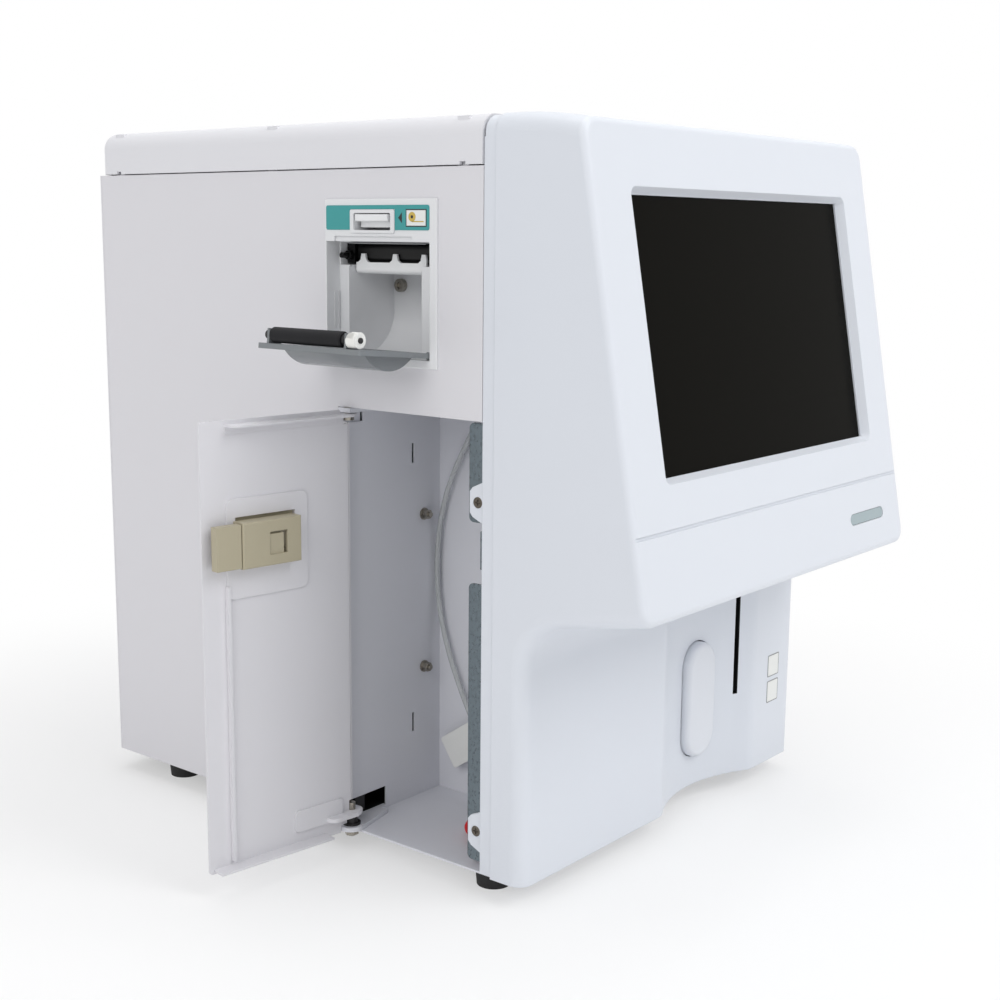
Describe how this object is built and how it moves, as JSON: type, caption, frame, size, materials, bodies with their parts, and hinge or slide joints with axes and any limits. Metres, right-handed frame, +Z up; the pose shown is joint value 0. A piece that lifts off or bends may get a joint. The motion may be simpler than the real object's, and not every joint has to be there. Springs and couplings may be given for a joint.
{
  "type": "hematology analyzer",
  "caption": "Benchtop blood cell analyser: sheet-metal cabinet, moulded front with tilted screen and a concave sampling recess, open reagent door, open thermal printer, rubber feet.",
  "frame": {"origin": "centre of the underside of the front left foot, on the bench", "axes": "+Z up, -Y out of the front with the screen, +X to the right seen from the front; the side with the printer and the reagent door is -X"},
  "size_m": [0.3993, 0.4402, 0.4267],
  "materials": {
    "galvanised_steel": "galvanised, dull",
    "side_panel_paint": "fine powder coat, warm grey white",
    "lid_paint": "satin paint, warm grey white",
    "liner_paint": "fine powder coat, warm grey white",
    "front_plastic": "fine grain, bluish white",
    "screen_glass": "black printed back, glossy",
    "display_metal": "folded sheet",
    "light_lens": "frosted blue grey lens",
    "key_white": "fine grain, bluish white",
    "switch_black": "black moulding",
    "probe_steel": "drawn stainless tube",
    "carriage_plastic": "black acetal",
    "guide_aluminium": "clear anodised",
    "screw_steel": "zinc plated",
    "screw_black": "blackened steel",
    "latch_plastic": "beige moulding",
    "hose_plastic": "clear soft tube, drawn as milky",
    "tag_plastic": "blank white card",
    "fitting_black": "black bulkhead gland",
    "cap_red": "red soft cap",
    "printer_plastic": "light grey moulding",
    "label_teal": "bare teal plate",
    "lever_white": "white moulding",
    "printer_black": "black moulding",
    "tear_steel": "thin stainless blade",
    "printer_door_plastic": "smoky grey moulding",
    "roller_bracket_plastic": "grey moulding",
    "roller_rubber": "ground black rubber",
    "roller_shaft_steel": "ground steel with black ends",
    "gear_white": "white acetal",
    "foot_rubber": "black rubber",
    "socket_black": "black moulding",
    "fan_black": "black moulding",
    "port_plastic": "natural plastic fittings",
    "port_metal": "tinned shells",
    "board_green": "solder mask",
    "pump_metal": "machined block",
    "chamber_acrylic": "clear block, drawn as milky",
    "valve_plastic": "black coils on a block"
  },
  "bodies": {
    "cabinet": {"base_plate": "liner_paint", "left_side_panel": "side_panel_paint", "right_side_panel": "side_panel_paint", "rear_panel": "side_panel_paint", "top_cover": "lid_paint", "front_shell": "front_plastic", "screen_glass": "screen_glass", "display_module": "display_metal", "status_light": "light_lens", "aspirate_switch": "switch_black", "probe_guide": "guide_aluminium", "front_bracket": "galvanised_steel", "shell_screws": "screw_black", "compartment_liner": "liner_paint", "wall_fasteners": "screw_steel", "lower_hinge_bracket": "liner_paint", "lower_hinge_pin": "screw_steel", "hinge_washers": "switch_black", "upper_hinge_bracket": "liner_paint", "upper_hinge_pin": "screw_steel", "reagent_hose": "hose_plastic", "hose_tag": "tag_plastic", "hose_fitting": "fitting_black", "red_end_cap": "cap_red", "printer_bezel": "printer_plastic", "printer_label": "label_teal", "thermal_head": "printer_black", "tear_bar": "tear_steel", "paper_guide": "lever_white", "bucket_screw": "screw_steel", "foot_front_left": "foot_rubber", "foot_front_right": "foot_rubber", "foot_rear_left": "foot_rubber", "foot_rear_right": "foot_rubber", "power_inlet": "socket_black", "cooling_fan": "fan_black", "fluid_ports": "port_plastic", "data_ports": "port_metal", "inner_chassis": "galvanised_steel", "power_supply": "display_metal", "main_board": "board_green", "syringe_pump": "pump_metal", "counting_chamber": "chamber_acrylic", "vacuum_pump": "pump_metal", "valve_bank": "valve_plastic", "case_screws": "screw_steel"},
    "aspirate_key": {"aspirate_key": "key_white"},
    "probe_carriage": {"probe_carriage": "carriage_plastic"},
    "sample_probe": {"sample_probe": "probe_steel"},
    "reagent_door": {"reagent_door": "side_panel_paint", "latch_body": "latch_plastic"},
    "latch_bolt": {"latch_bolt": "latch_plastic"},
    "printer_door": {"printer_door": "printer_door_plastic", "roller_brackets": "roller_bracket_plastic"},
    "platen_roller": {"platen_roller": "roller_rubber", "roller_shaft": "roller_shaft_steel", "roller_gear": "gear_white"},
    "release_lever": {"release_lever": "lever_white"},
    "power_switch": {"power_switch": "socket_black"},
    "fan_rotor": {"fan_rotor": "fan_black"}
  },
  "joints": [
    {"name": "reagent_door_hinge", "type": "hinge", "parent": "cabinet", "child": "reagent_door", "pos_m": [-0.0195, 0.0943, 0.143], "axis": [0, 0, 1], "range_deg": [-12.5, 97.5]},
    {"name": "latch_slide", "type": "slide", "parent": "reagent_door", "child": "latch_bolt", "axis": [-0.9914, 0.1305, 0], "range_m": [0, 0.006]},
    {"name": "printer_door_hinge", "type": "hinge", "parent": "cabinet", "child": "printer_door", "pos_m": [-0.018, 0.069, 0.3], "axis": [0, 1, 0], "range_deg": [0, 85]},
    {"name": "platen_spin", "type": "hinge", "parent": "printer_door", "child": "platen_roller", "pos_m": [-0.07195, 0.069, 0.31094], "axis": [0, 1, 0], "continuous": true},
    {"name": "release_lever_pivot", "type": "hinge", "parent": "cabinet", "child": "release_lever", "pos_m": [-0.012, 0.0725, 0.3698], "axis": [0, -1, 0], "range_deg": [0, 12], "stiffness_Nm_per_rad": 0.05},
    {"name": "aspirate_key_press", "type": "slide", "parent": "cabinet", "child": "aspirate_key", "axis": [0, 1, 0], "range_m": [0, 0.0025], "stiffness_N_per_m": 600},
    {"name": "probe_travel", "type": "slide", "parent": "cabinet", "child": "probe_carriage", "axis": [0, -1, 0], "range_m": [0, 0.05]},
    {"name": "probe_lift", "type": "slide", "parent": "probe_carriage", "child": "sample_probe", "axis": [0, 0, -1], "range_m": [0, 0.015]},
    {"name": "power_switch_rocker", "type": "hinge", "parent": "cabinet", "child": "power_switch", "pos_m": [0.238, 0.3134, 0.075], "axis": [1, 0, 0], "range_deg": [0, 10]},
    {"name": "fan_spin", "type": "hinge", "parent": "cabinet", "child": "fan_rotor", "pos_m": [0.212, 0.304, 0.313], "axis": [0, 1, 0], "continuous": true}
  ]
}
